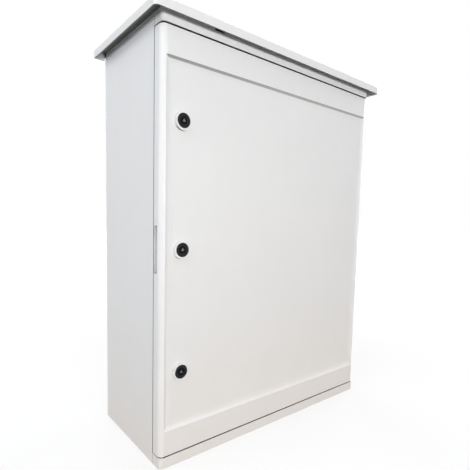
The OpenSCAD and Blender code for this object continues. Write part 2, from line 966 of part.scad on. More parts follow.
lock_cam(lock_places[2]);  // lock_cam_bottom
cam_screw(lock_places[0]);  // cam_screw_top
cam_screw(lock_places[1]);  // cam_screw_middle
cam_screw(lock_places[2]);  // cam_screw_bottom
mounting_plate();
plate_screws();
plate_washers();
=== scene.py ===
"""Looks of a moulded outdoor electrical enclosure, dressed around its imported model.

Units are metres in the model's own frame: X to the right, front at -Y, Z up.
"""
import json
import math

import bmesh
import bpy
from mathutils import Matrix, Vector


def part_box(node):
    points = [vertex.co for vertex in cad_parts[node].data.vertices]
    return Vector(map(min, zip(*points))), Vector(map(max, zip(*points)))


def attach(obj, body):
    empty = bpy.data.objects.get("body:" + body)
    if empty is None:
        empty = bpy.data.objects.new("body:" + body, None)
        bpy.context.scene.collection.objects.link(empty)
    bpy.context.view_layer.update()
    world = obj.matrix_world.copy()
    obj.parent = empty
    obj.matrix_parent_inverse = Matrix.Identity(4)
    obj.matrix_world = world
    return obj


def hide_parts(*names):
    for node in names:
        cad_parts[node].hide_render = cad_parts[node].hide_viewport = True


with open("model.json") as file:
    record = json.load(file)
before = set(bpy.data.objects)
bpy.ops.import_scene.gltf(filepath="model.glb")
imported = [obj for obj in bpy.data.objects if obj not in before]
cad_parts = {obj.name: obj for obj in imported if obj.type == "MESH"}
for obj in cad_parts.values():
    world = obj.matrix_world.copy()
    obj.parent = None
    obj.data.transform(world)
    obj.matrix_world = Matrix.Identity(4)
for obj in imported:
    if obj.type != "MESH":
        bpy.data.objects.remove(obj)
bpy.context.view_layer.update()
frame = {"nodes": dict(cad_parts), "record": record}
nodes = frame["nodes"]

MM = 0.001
FRONT = Vector((0, -1, 0))
BACK = Vector((0, 1, 0))
DOWN = Vector((0, 0, -1))
LOCKS = ("top", "middle", "bottom")


# Materials

# Most values of a noise lie between these two
NOISE_LOW = 0.3
NOISE_HIGH = 0.7


class Shader:
    """A material with its principled shader, and short ways to put nodes in front of it."""

    def __init__(self, name, colour, roughness, metallic=0.0, specular=0.5):
        self.material = bpy.data.materials.new(name)
        self.material.use_nodes = True
        self.tree = self.material.node_tree
        self.surface = self.tree.nodes["Principled BSDF"]
        self.surface.inputs["Base Color"].default_value = (*colour, 1)
        self.surface.inputs["Roughness"].default_value = roughness
        self.surface.inputs["Metallic"].default_value = metallic
        self.surface.inputs["Specular IOR Level"].default_value = specular
        where = self.add("ShaderNodeTexCoord")
        self.place = where.outputs["Object"]
        self.normal = where.outputs["Normal"]

    def add(self, kind, **inputs):
        """A new node, with its inputs set by name: a number, a colour, or the output to link."""
        node = self.tree.nodes.new(kind)
        for name, value in inputs.items():
            self.feed(node.inputs[name.replace("_", " ")], value)
        return node

    def feed(self, socket, value):
        if isinstance(value, bpy.types.NodeSocket):
            self.tree.links.new(value, socket)
        else:
            socket.default_value = value

    def axis(self, vector, name):
        """One coordinate of a place or of a direction."""
        return self.add("ShaderNodeSeparateXYZ", Vector=vector).outputs[name]

    def stretched(self, scale):
        """The place on the part, stretched along its axes."""
        return self.add("ShaderNodeMapping", Vector=self.place, Scale=scale).outputs["Vector"]

    def noise(self, size, detail=2.0, place=None):
        """Noise whose grains are about this many metres wide, from 0 to 1."""
        node = self.add("ShaderNodeTexNoise", Vector=place or self.place,
                        Scale=1 / size, Detail=detail)
        return node.outputs["Fac"]

    def cells(self, size, output="Distance"):
        """Cells about this many metres wide."""
        node = self.add("ShaderNodeTexVoronoi", Vector=self.place, Scale=1 / size)
        return node.outputs[output]

    def spread(self, value, low, high, start=NOISE_LOW, end=NOISE_HIGH):
        """Maps a value, which runs from start to end, onto the range from low to high."""
        node = self.add("ShaderNodeMapRange", Value=value, From_Min=start, From_Max=end,
                        To_Min=low, To_Max=high)
        return node.outputs["Result"]

    def calculate(self, operation, *values):
        node = self.add("ShaderNodeMath")
        node.operation = operation
        for socket, value in zip(node.inputs, values):
            self.feed(socket, value)
        return node.outputs[0]

    def size(self, value):
        """A value without its sign."""
        return self.calculate("ABSOLUTE", value)

    def sum(self, *values):
        total = values[0]
        for value in values[1:]:
            total = self.calculate("ADD", total, value)
        return total

    def blend(self, share, first, second):
        """A colour between two others."""
        node = self.add("ShaderNodeMix")
        node.data_type = "RGBA"
        self.feed(node.inputs["Factor"], share)
        for name, colour in (("A", first), ("B", second)):
            socket = [s for s in node.inputs if s.name == name and s.type == "RGBA"][0]
            linked = isinstance(colour, bpy.types.NodeSocket)
            self.feed(socket, colour if linked else (*colour, 1))
        return [s for s in node.outputs if s.type == "RGBA"][0]

    def mottle(self, noise, tones):
        """A colour that wanders between two tones."""
        return self.blend(self.spread(noise, 0, 1), *tones)

    def colour(self, value):
        self.feed(self.surface.inputs["Base Color"], value)

    def roughness(self, value):
        self.feed(self.surface.inputs["Roughness"], value)

    def bump(self, height, depth, strength):
        """Relief of this depth in metres, laid over any relief that is there already."""
        node = self.add("ShaderNodeBump", Height=height, Distance=depth, Strength=strength)
        socket = self.surface.inputs["Normal"]
        if socket.links:
            self.feed(node.inputs["Normal"], socket.links[0].from_socket)
        self.feed(socket, node.outputs["Normal"])


# The dark and the light tone of each finish
POLYESTER_TONES = ((0.786, 0.788, 0.786), (0.816, 0.818, 0.816))
POLYAMIDE_TONES = ((0.010, 0.010, 0.011), (0.018, 0.018, 0.019))
BLACKENED_TONES = ((0.004, 0.004, 0.0045), (0.010, 0.010, 0.0105))
# The spindle's key: a painted highlight, which also reads as rubbed metal
RUBBED_HIGHLIGHT_TONES = ((0.09, 0.09, 0.092), (0.2, 0.2, 0.205))
RUBBER_TONES = ((0.016, 0.016, 0.017), (0.032, 0.032, 0.033))
ZINC_TONES = ((0.44, 0.465, 0.49), (0.52, 0.51, 0.475))
STAINLESS_TONES = ((0.56, 0.57, 0.58), (0.63, 0.64, 0.65))
GALVANISED_TONES = ((0.50, 0.53, 0.55), (0.68, 0.70, 0.71))

# Painted shade for faces that look down, darker than the shell, and the Z of a normal from which a
# face looks down fully, and not at all
CANOPY_UNDERSIDE_SHADE = (0.18, 0.185, 0.18)
DOOR_UNDERSIDE_SHADE = (0.28, 0.28, 0.278)
LOOKS_DOWN = (-0.75, -0.5)
# Painted shade in tight joints, driven by ambient occlusion: the reach that counts, and the
# openness where the shade is full and where it ends
JOINT_SHADE_COLOUR = (0.07, 0.068, 0.064)
JOINT_REACH = 16 * MM
JOINT_OPEN = (0.33, 0.47)
JOINT_SAMPLES = 16
# A painted shadow line on the body's flange, where the gap behind the door's skirt shows it: the
# distances from its middle where it is full and where it ends, and the X where it starts and where
# it is full
SKIRT_GAP = 2 * MM
FLANGE_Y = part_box("door")[1].y + SKIRT_GAP
FLANGE_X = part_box("body")[1].x
FLANGE_LINE = (0.4 * MM, 0.6 * MM)
FLANGE_EDGE = (FLANGE_X - 1.6 * MM, FLANGE_X - 1.0 * MM)


def shell_material(name, underside=None, flange=False):
    """Light grey hot-pressed polyester: fine grain, faint clouds and pressing marks, satin.

    Tight joints are darkened with painted shade from ambient occlusion. A colour given for the
    underside is painted shade on the faces that look down. A flange gets a painted shadow line
    along its outer edge, where the door's skirt ends.
    """
    shader = Shader(name, colour=(0.80, 0.802, 0.80), roughness=0.42, specular=0.4)
    clouds = shader.noise(size=180 * MM, detail=3)
    grain = shader.noise(size=1.1 * MM)
    flow = shader.noise(size=26 * MM, detail=3, place=shader.stretched(scale=(1, 1, 0.35)))
    tone = shader.sum(shader.spread(clouds, low=0.0, high=0.5),
                      shader.spread(flow, low=0.0, high=0.3),
                      shader.spread(grain, low=0.0, high=0.2))
    colour = shader.blend(tone, *POLYESTER_TONES)
    # Painted shade: the faces that look down take the darker colour given
    if underside:
        down = shader.spread(shader.axis(shader.normal, "Z"), 1, 0, *LOOKS_DOWN)
        colour = shader.blend(down, colour, underside)
    # Painted shade: ambient occlusion darkens tight joints towards a dark grey
    joint = shader.add("ShaderNodeAmbientOcclusion", Distance=JOINT_REACH)
    joint.samples = JOINT_SAMPLES
    closed = shader.spread(joint.outputs["AO"], 1, 0, *JOINT_OPEN)
    colour = shader.blend(closed, colour, JOINT_SHADE_COLOUR)
    # Painted shadow line along the flange's outer edge, behind the door's skirt
    if flange:
        depth = shader.size(shader.sum(shader.axis(shader.place, "Y"), -FLANGE_Y))
        level = shader.spread(depth, 1, 0, *FLANGE_LINE)
        outer = shader.spread(shader.size(shader.axis(shader.place, "X")), 0, 1, *FLANGE_EDGE)
        both = shader.spread(shader.sum(level, outer), 0, 1, start=1, end=2)
        colour = shader.blend(both, colour, JOINT_SHADE_COLOUR)
    shader.colour(colour)
    shader.roughness(shader.sum(shader.spread(grain, low=0.36, high=0.44),
                                shader.spread(clouds, low=-0.02, high=0.03)))
    shader.bump(shader.noise(size=2.4 * MM), depth=0.05 * MM, strength=0.35)
    shader.bump(grain, depth=0.02 * MM, strength=0.4)
    return shader.material


def lock_material():
    """Black polyamide with a fine eroded grain."""
    shader = Shader("black_polyamide", colour=(0.012, 0.012, 0.013), roughness=0.4, specular=0.18)
    grain = shader.noise(size=0.35 * MM)
    wear = shader.noise(size=6 * MM, detail=3)
    shader.colour(shader.mottle(wear, POLYAMIDE_TONES))
    shader.roughness(shader.spread(grain, low=0.33, high=0.48))
    shader.bump(grain, depth=0.02 * MM, strength=0.5)
    return shader.material


# Y of the key's foot on the discs of the spindles, and in front of it the Y where the key's painted
# highlight is full and the Y where it starts
KEY_FOOT = -158.3 * MM
KEY_HIGHLIGHT = (KEY_FOOT - 0.4 * MM, KEY_FOOT - 0.1 * MM)


def spindle_material():
    """Blackened die-cast metal, with a painted highlight on its key that also reads as rubbed."""
    shader = Shader("blackened_metal", colour=(0.02, 0.02, 0.021), roughness=0.4, metallic=0.85,
                    specular=0.2)
    rub = shader.noise(size=2.5 * MM, detail=4)
    grain = shader.noise(size=0.3 * MM)
    # Painted highlight: the key's front faces take the bright tones
    key = shader.spread(shader.axis(shader.place, "Y"), 1, 0, *KEY_HIGHLIGHT)
    shader.colour(shader.blend(key, shader.mottle(rub, BLACKENED_TONES),
                               shader.mottle(rub, RUBBED_HIGHLIGHT_TONES)))
    shader.roughness(shader.spread(grain, low=0.32, high=0.5))
    shader.bump(grain, depth=0.02 * MM, strength=0.5)
    return shader.material


def gasket_material():
    """Closed-cell black rubber with a skin of fine pores."""
    shader = Shader("cellular_rubber", colour=(0.02, 0.02, 0.021), roughness=0.75)
    pores = shader.cells(size=0.7 * MM)
    clouds = shader.noise(size=15 * MM, detail=3)
    shader.colour(shader.mottle(clouds, RUBBER_TONES))
    shader.roughness(shader.spread(clouds, low=0.68, high=0.84))
    shader.bump(pores, depth=0.08 * MM, strength=0.5)
    return shader.material


def zinc_material():
    """Zinc-plated steel with a faint blue and straw tint."""
    shader = Shader("zinc_plated_steel", colour=(0.48, 0.49, 0.49), roughness=0.38, metallic=1.0)
    tint = shader.noise(size=9 * MM, detail=3)
    grain = shader.noise(size=0.5 * MM, detail=3)
    shader.colour(shader.mottle(tint, ZINC_TONES))
    shader.roughness(shader.sum(shader.spread(grain, low=0.32, high=0.44),
                                shader.spread(tint, low=-0.03, high=0.03)))
    shader.bump(grain, depth=0.015 * MM, strength=0.5)
    return shader.material


def steel_material():
    """Drawn stainless steel with fine rings round the bar."""
    shader = Shader("stainless_steel", colour=(0.60, 0.61, 0.62), roughness=0.28, metallic=1.0)
    rings = shader.noise(size=0.5 * MM, place=shader.stretched(scale=(0.1, 0.1, 3)))
    shader.colour(shader.mottle(rings, STAINLESS_TONES))
    shader.roughness(shader.spread(rings, low=0.22, high=0.34))
    shader.bump(rings, depth=0.01 * MM, strength=0.5)
    return shader.material


def plate_material():
    """Galvanised sheet steel with its spangle."""
    shader = Shader("galvanised_sheet", colour=(0.60, 0.62, 0.63), roughness=0.4, metallic=1.0)
    spangle = shader.cells(size=13 * MM, output="Color")
    grain = shader.noise(size=0.8 * MM, detail=3)
    clouds = shader.noise(size=90 * MM, detail=3)
    shade = shader.sum(shader.spread(spangle, low=0.0, high=0.6, start=0, end=1),
                       shader.spread(clouds, low=0.0, high=0.3),
                       shader.spread(grain, low=0.0, high=0.1))
    shader.colour(shader.blend(shade, *GALVANISED_TONES))
    shader.roughness(shader.sum(shader.spread(spangle, low=0.3, high=0.46, start=0, end=1),
                                shader.spread(grain, low=-0.03, high=0.03)))
    shader.bump(grain, depth=0.02 * MM, strength=0.4)
    return shader.material


# By material slot, and by node for the canopy and the door, which differ from their slot
MATERIALS = {
    "shell": shell_material("polyester_shell", flange=True),
    # The canopy and the door take painted shade on the faces that look down
    "canopy": shell_material("polyester_canopy", CANOPY_UNDERSIDE_SHADE),
    "door": shell_material("polyester_door", DOOR_UNDERSIDE_SHADE),
    "lock_black": lock_material(),
    "spindle": spindle_material(),
    "gasket": gasket_material(),
    "zinc": zinc_material(),
    "steel": steel_material(),
    "plate": plate_material(),
}
SLOT_OF = {part["node"]: part["material_slot"] for part in frame["record"]["subparts"]}
BODY_OF = {node: body for body, names in frame["record"]["behaviour"]["bodies"].items()
           for node in names}


# Carried-over pieces

# Points closer than this are one point of a solid
WELD_REACH = 1e-6
# Faces that meet at less than the first angle are one flat; edges past the second are sharp
FLAT_ANGLE = math.radians(0.2)
SHARP_ANGLE = math.radians(35)
EDGE_SEGMENTS = 2
EDGE_WIDTH = 0.3 * MM
SHELL_EDGE_WIDTHS = {"body": 0.4 * MM, "canopy": 0.8 * MM, "door": 0.4 * MM}


def soften(node, width):
    """Rounds the sharp edges of a node as a moulded, pressed or turned part has them."""
    weld = node.modifiers.new("weld", "WELD")
    weld.merge_threshold = WELD_REACH
    flat = node.modifiers.new("flat", "DECIMATE")
    flat.decimate_type = "DISSOLVE"
    flat.angle_limit = FLAT_ANGLE
    bevel = node.modifiers.new("bevel", "BEVEL")
    bevel.width = width
    bevel.segments = EDGE_SEGMENTS
    bevel.limit_method = "ANGLE"
    bevel.angle_limit = SHARP_ANGLE
    bevel.use_clamp_overlap = True
    node.modifiers.new("normals", "WEIGHTED_NORMAL")


for name, node in nodes.items():
    node.data.materials.clear()
    node.data.materials.append(MATERIALS[name if name in MATERIALS else SLOT_OF[name]])
    soften(node, SHELL_EDGE_WIDTHS.get(name, EDGE_WIDTH))


# Shapes of the pieces built here

def islands(name):
    """Boxes of the separate solids of a node, each as its lowest and its highest corner."""
    bm = bmesh.new()
    bm.from_mesh(nodes[name].data)
    bmesh.ops.remove_doubles(bm, verts=bm.verts, dist=WELD_REACH)
    left = set(bm.verts)
    boxes = []
    while left:
        group = []
        reach = [left.pop()]
        while reach:
            vert = reach.pop()
            group.append(vert.co.copy())
            for edge in vert.link_edges:
                other = edge.other_vert(vert)
                if other in left:
                    left.remove(other)
                    reach.append(other)
        low = Vector([min(p[i] for p in group) for i in range(3)])
        high = Vector([max(p[i] for p in group) for i in range(3)])
        boxes.append((low, high))
    bm.free()
    return sorted(boxes, key=lambda box: tuple(box[0]))


def facing(place, direction):
    """Matrix that puts a shape's origin at a place and turns its Z axis to a direction."""
    return Matrix.Translation(place) @ direction.to_track_quat("Z", "Y").to_matrix().to_4x4()


def grid(bm, rows, closed=False):
    """Faces between rings of points; a ring of one point is a pole, and a closed grid is a tube."""
    rings = [[bm.verts.new(point) for point in row] for row in rows]
    pairs = zip(rings, rings[1:] + rings[:1]) if closed else zip(rings, rings[1:])
    for low, high in pairs:
        count = max(len(low), len(high))
        for i in range(count):
            j = (i + 1) % count
            corners = [low[i % len(low)], low[j % len(low)],
                       high[j % len(high)], high[i % len(high)]]
            bm.faces.new(list(dict.fromkeys(corners)))
    return rings


def ring(place, radius, height, count):
    """Points of a circle round the Z axis of a matrix; radius may be a function of the angle."""
    points = []
    for i in range(count):
        angle = 2 * math.pi * i / count
        r = radius(angle) if callable(radius) else radius
        points.append(place @ Vector((r * math.cos(angle), r * math.sin(angle), height)))
    return points[:1] if radius == 0 else points


def revolve(place, profile, count):
    """Rings of a turned shape, from a profile of radii and heights."""
    return [ring(place, radius, height, count) for radius, height in profile]


def arc(centre, radius, start, end, steps):
    """Points of a profile along an arc, its angles in degrees."""
    angles = [math.radians(start + (end - start) * i / steps) for i in range(steps + 1)]
    return [(centre[0] + radius * math.cos(angle), centre[1] + radius * math.sin(angle))
            for angle in angles]


def thread_rows(place, radius, low, high, pitch, depth, count, steps):
    """Rings of a screw thread between two heights, with so many steps to a pitch.

    The thread runs in and out over half a pitch.
    """
    number = max(2, round((high - low) / pitch * steps))
    rows = []
    for i in range(number + 1):
        height = low + (high - low) * i / number
        fade = min(1, 2 * i / steps, 2 * (number - i) / steps)

        def at(angle, height=height, fade=fade):
            wave = 0.5 - 0.5 * math.cos(2 * math.pi * height / pitch - angle)
            return radius - depth * (fade * wave + 1 - fade)
        rows.append(ring(place, at, height, count))
    return rows


# Pan screw, in shares of its shank's radius
HEAD_RADIUS = 2.2
HEAD_RISE = 1.4
TIP_RADIUS = 0.72
TIP_LENGTH = 0.35
NECK_LENGTH = 0.1
SCREW_PITCH = 0.42
SCREW_THREAD_DEPTH = 0.16
# Its head, in shares of the head's radius or height
SEAT_RADIUS = 0.97
SEAT_RISE = 0.06
CROWN_RADIUS = 0.62
DOME_FOOT = 0.42
CROSS_ARM = 0.46
CROSS_HALF_WIDTH = 0.085
CROSS_DEPTH = 0.7
# The foot of the cross, in shares of its top
CROSS_TAPER = 0.55
SHANK_SIDES = 24
HEAD_SIDES = 48
DOME_STEPS = 8
SMALL_THREAD_STEPS = 5


def close_with_cross(bm, place, edge, height, arm, half, depth):
    """Closes the round top of a screw with a cross recess in it."""
    outline = []
    for c, s in ((1, 0), (0, 1), (-1, 0), (0, -1)):
        for x, y in ((arm, -half), (arm, half), (half, half)):
            outline.append((c * x - s * y, s * x + c * y))
    top = [bm.verts.new(place @ Vector((x, y, height))) for x, y in outline]
    foot = [bm.verts.new(place @ Vector((CROSS_TAPER * x, CROSS_TAPER * y, height - depth)))
            for x, y in outline]
    for i in range(len(top)):
        j = (i + 1) % len(top)
        bm.faces.new((top[i], top[j], foot[j], foot[i]))
    bm.faces.new(foot)
    edges = [bm.edges.get((loop[i], loop[(i + 1) % len(loop)]))
             for loop in (edge, top) for i in range(len(loop))]
    bmesh.ops.triangle_fill(bm, edges=edges, use_beauty=True)


def pan_screw(bm, low, high, direction):
    """Pan-headed screw with a cross recess and a thread, in the box of the plain one.

    Its head looks in the direction.
    """
    along = [i for i in range(3) if direction[i]][0]
    across = (along + 1) % 3
    head = (high[across] - low[across]) / 2
    shank = head / HEAD_RADIUS
    rise = HEAD_RISE * shank
    length = (high - low)[along] - rise
    seat = (low + high) / 2
    seat[along] = (high if direction[along] > 0 else low)[along] - direction[along] * rise
    place = facing(seat, direction)
    tip = [(0, -length), (TIP_RADIUS * shank, -length)]
    thread = thread_rows(place, shank, -length + TIP_LENGTH * shank, -NECK_LENGTH * shank,
                         SCREW_PITCH * shank, SCREW_THREAD_DEPTH * shank,
                         SHANK_SIDES, SMALL_THREAD_STEPS)
    neck = [(shank, 0), (SEAT_RADIUS * head, 0)]
    grid(bm, revolve(place, tip, SHANK_SIDES) + thread + revolve(place, neck, SHANK_SIDES))
    profile = [(SEAT_RADIUS * head, 0), (head, SEAT_RISE * rise), (head, DOME_FOOT * rise)]
    profile += [(head * (CROWN_RADIUS + (1 - CROWN_RADIUS) * x),
                 rise * (DOME_FOOT + (1 - DOME_FOOT) * y))
                for x, y in arc((0, 0), 1, 0, 90, DOME_STEPS)[1:]]
    rings = grid(bm, revolve(place, profile, HEAD_SIDES))
    close_with_cross(bm, place, rings[-1], rise, CROSS_ARM * head, CROSS_HALF_WIDTH * head,
                     CROSS_DEPTH * rise)


# Nut: the radius of its round faces, in shares of its half width, and the slope of the chamfer that
# widens from there; heights in shares of its thickness; its bore in shares of the screw's radius
NUT_FACE = 0.96
NUT_CHAMFER_SLOPE = 1.7
NUT_CHAMFER_HEIGHTS = [0, 0.03, 0.06, 0.1, 0.15, 0.2]
NUT_HEIGHTS = NUT_CHAMFER_HEIGHTS + [0.5] + [1 - share for share in NUT_CHAMFER_HEIGHTS[::-1]]
NUT_MOUTH = 1.12
NUT_THREAD = 1.1
NUT_THREAD_DEPTH = 0.1
NUT_THREAD_SPAN = (0.03, 0.97)
NUT_SIDES = 72
HEX_TURN = math.pi / 3


def hex_nut(bm, low, high, bore, pitch):
    """Hexagon nut with chamfered corners and a threaded bore, along Y.

    One pair of its flats faces the sides.
    """
    flat = (high.x - low.x) / 2
    thick = high.y - low.y
    place = facing(Vector(((low.x + high.x) / 2, low.y, (low.z + high.z) / 2)), BACK)

    def outside(height):
        edge = NUT_FACE * flat + NUT_CHAMFER_SLOPE * min(height, thick - height)

        def radius(angle):
            off = (angle + HEX_TURN / 2) % HEX_TURN - HEX_TURN / 2
            return min(flat / math.cos(off), edge)
        return radius
    rim = [(outside(share * thick), share * thick) for share in NUT_HEIGHTS]
    profile = [(NUT_MOUTH * bore, 0)] + rim + [(NUT_MOUTH * bore, thick)]
    start, end = (share * thick for share in NUT_THREAD_SPAN)
    thread = thread_rows(place, NUT_THREAD * bore, start, end, pitch, NUT_THREAD_DEPTH * bore,
                         NUT_SIDES, SMALL_THREAD_STEPS)
    grid(bm, revolve(place, profile, NUT_SIDES) + thread[::-1], closed=True)


# Lock housing: its head stands on the door, and its barrel passes through
LOCK_HEAD_RISE = 4.5 * MM
LOCK_FOOT_ROUND = 0.4 * MM
LOCK_FOOT_STEPS = 4
LOCK_RIM_ROUND = 2 * MM
LOCK_RIM_STEPS = 10
# The groove in the rim: distances from the head's edge, and depths
LOCK_GROOVE = ((2.6 * MM, 0), (2.9 * MM, 0.35 * MM), (3.3 * MM, 0.35 * MM), (3.6 * MM, 0))
DISH_RADIUS = 11 * MM
DISH_DEPTH = 3 * MM
DISH_EDGE_ROUND = 0.6 * MM
DISH_FOOT_ROUND = 0.8 * MM
DISH_STEPS = 5
LOCK_BORE = 6.05 * MM
LOCK_BORE_CHAMFER = 0.3 * MM
# The barrel: its radius, its thread, the radius it loses along its lead, and its plain neck
BARREL = 9 * MM
BARREL_PITCH = 1.5 * MM
BARREL_THREAD_DEPTH = 0.75 * MM
BARREL_STEPS = 8
BARREL_TAPER = 1 * MM
BARREL_LEAD = 0.5 * MM
BARREL_NECK = 3.4 * MM
BARREL_RUNOUT = 0.2 * MM
LOCK_SIDES = 72


def lock_housing(bm, low, high):
    """Lock housing with a rolled rim, a groove, a dish and a threaded barrel, along Y."""
    head = (high.x - low.x) / 2
    rise = LOCK_HEAD_RISE
    length = high.y - low.y - rise
    place = facing(Vector(((low.x + high.x) / 2, low.y + rise, (low.z + high.z) / 2)), FRONT)
    floor = rise - DISH_DEPTH
    profile = arc((head - LOCK_FOOT_ROUND, LOCK_FOOT_ROUND), LOCK_FOOT_ROUND,
                  -90, 0, LOCK_FOOT_STEPS)
    profile += arc((head - LOCK_RIM_ROUND, rise - LOCK_RIM_ROUND), LOCK_RIM_ROUND,
                   0, 90, LOCK_RIM_STEPS)
    profile += [(head - inset, rise - depth) for inset, depth in LOCK_GROOVE]
    profile += arc((DISH_RADIUS + DISH_EDGE_ROUND, rise - DISH_EDGE_ROUND), DISH_EDGE_ROUND,
                   90, 180, DISH_STEPS)
    profile += arc((DISH_RADIUS - DISH_FOOT_ROUND, floor + DISH_FOOT_ROUND), DISH_FOOT_ROUND,
                   0, -90, DISH_STEPS)
    profile += [(LOCK_BORE + LOCK_BORE_CHAMFER, floor), (LOCK_BORE, floor - LOCK_BORE_CHAMFER)]
    profile += [(LOCK_BORE, -length), (BARREL - BARREL_TAPER, -length)]
    thread = thread_rows(place, BARREL, -length + BARREL_LEAD, -BARREL_NECK - BARREL_RUNOUT,
                         BARREL_PITCH, BARREL_THREAD_DEPTH, LOCK_SIDES, BARREL_STEPS)
    neck = [(BARREL, -BARREL_NECK), (BARREL, 0)]
    rows = revolve(place, profile, LOCK_SIDES) + thread + revolve(place, neck, LOCK_SIDES)
    grid(bm, rows, closed=True)


# Gasket: its section, whose shoulder is a share of its depth, the line that the body's lip presses
# into its back, and the radius of its path at the corners
GASKET_WIDTH = 8 * MM
GASKET_SHOULDER = 0.52
GASKET_BACK_STEPS = 20
LIP_PRESS = 0.55 * MM
LIP_SPREAD = 0.9 * MM
GASKET_TURN = 13.5 * MM
GASKET_TURN_STEPS = 16


def gasket(bm, low, high):
    """Door seal along a round-cornered path, with a rounded back and the lip's line pressed in."""
    half = GASKET_WIDTH / 2
    deep = high.y - low.y
    shoulder = GASKET_SHOULDER * deep
    section = [(-half, 0), (-half, shoulder)]
    for i in range(1, GASKET_BACK_STEPS):
        angle = math.pi * (1 - i / GASKET_BACK_STEPS)
        side = half * math.cos(angle)
        pressed = LIP_PRESS * math.exp(-(side / LIP_SPREAD) ** 2)
        section.append((side, shoulder + (deep - shoulder) * math.sin(angle) - pressed))
    section += [(half, shoulder), (half, 0)]
    inset = half + GASKET_TURN
    left, right = low.x + inset, high.x - inset
    bottom, top = low.z + inset, high.z - inset
    rows = []
    for corner, (x, z) in enumerate(((right, top), (left, top), (left, bottom), (right, bottom))):
        for i in range(GASKET_TURN_STEPS + 1):
            angle = math.pi / 2 * (corner + i / GASKET_TURN_STEPS)
            c, s = math.cos(angle), math.sin(angle)
            rows.append([Vector((x + (GASKET_TURN + side) * c, low.y + depth,
                                 z + (GASKET_TURN + side) * s)) for side, depth in section])
    grid(bm, rows, closed=True)


# Pieces built here

# Points of a new mesh closer than this become one
MERGE_REACH = 1e-7


def add_piece(name, bm, *stands_for):
    """Turns a mesh into a piece that stands for CAD nodes and takes their finish and their body."""
    bmesh.ops.remove_doubles(bm, verts=bm.verts, dist=MERGE_REACH)
    bmesh.ops.recalc_face_normals(bm, faces=bm.faces)
    mesh = bpy.data.meshes.new(name)
    bm.to_mesh(mesh)
    bm.free()
    mesh.shade_smooth()
    mesh.set_sharp_from_angle(angle=SHARP_ANGLE)
    piece = bpy.data.objects.new(name, mesh)
    bpy.context.scene.collection.objects.link(piece)
    mesh.materials.append(MATERIALS[SLOT_OF[stands_for[0]]])
    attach(piece, BODY_OF[stands_for[0]])
    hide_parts(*stands_for)


# Where the heads of the screws look
SCREW_HEADS = {"canopy_screws": DOWN, "hinge_bracket_screws": FRONT, "hinge_leaf_screws": BACK,
               "plate_screws": FRONT}
SCREW_HEADS.update({"cam_screw_" + lock: BACK for lock in LOCKS})
# The radius and the pitch of the screw or barrel in each nut
NUT_BORES = {"hinge_bracket_nuts": (2 * MM, 0.7 * MM)}
NUT_BORES.update({"lock_nut_" + lock: (BARREL, BARREL_PITCH) for lock in LOCKS})


def add_screws():
    for name, direction in SCREW_HEADS.items():
        bm = bmesh.new()
        for low, high in islands(name):
            pan_screw(bm, low, high, direction)
        add_piece(name + "_crossed", bm, name)


def add_nuts():
    for name, (bore, pitch) in NUT_BORES.items():
        bm = bmesh.new()
        for low, high in islands(name):
            hex_nut(bm, low, high, bore, pitch)
        add_piece(name + "_chamfered", bm, name)


def add_lock_housings():
    for lock in LOCKS:
        name = "lock_housing_" + lock
        low, high = (Vector(corner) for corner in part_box(name))
        bm = bmesh.new()
        lock_housing(bm, low, high)
        add_piece(name + "_turned", bm, name)


def add_gasket():
    low, high = (Vector(corner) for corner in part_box("door_gasket"))
    bm = bmesh.new()
    gasket(bm, low, high)
    add_piece("door_seal", bm, "door_gasket")


add_screws()
add_nuts()
add_lock_housings()
add_gasket()


# Floor, light and camera

def light_path(tree):
    """1 for rays from the camera, from gloss and through glass, which see the white background."""
    node = tree.nodes.new("ShaderNodeLightPath")
    total = node.outputs["Is Camera Ray"]
    for kind in ("Is Glossy Ray", "Is Transmission Ray"):
        either = tree.nodes.new("ShaderNodeMath")
        either.operation = "MAXIMUM"
        tree.links.new(total, either.inputs[0])
        tree.links.new(node.outputs[kind], either.inputs[1])
        total = either.outputs[0]
    return total


FLOOR_SIZE = 60.0
FLOOR_Z = -0.2 * MM
# The floor to the eye: its colour, which takes the shadow, and its glow near the part and far away
FLOOR_SEEN = (0.35, 0.35, 0.35)
FLOOR_GLOW = (0.63, 1.0)
GLOW_REACH = (1.0, 5.0)
# The floor as it throws light back: its colour near the part and far away
FLOOR_NEAR = (0.31, 0.19, 0.08)
FLOOR_FAR = (0.15, 0.15, 0.16)
COLOUR_REACH = (0.45, 1.1)


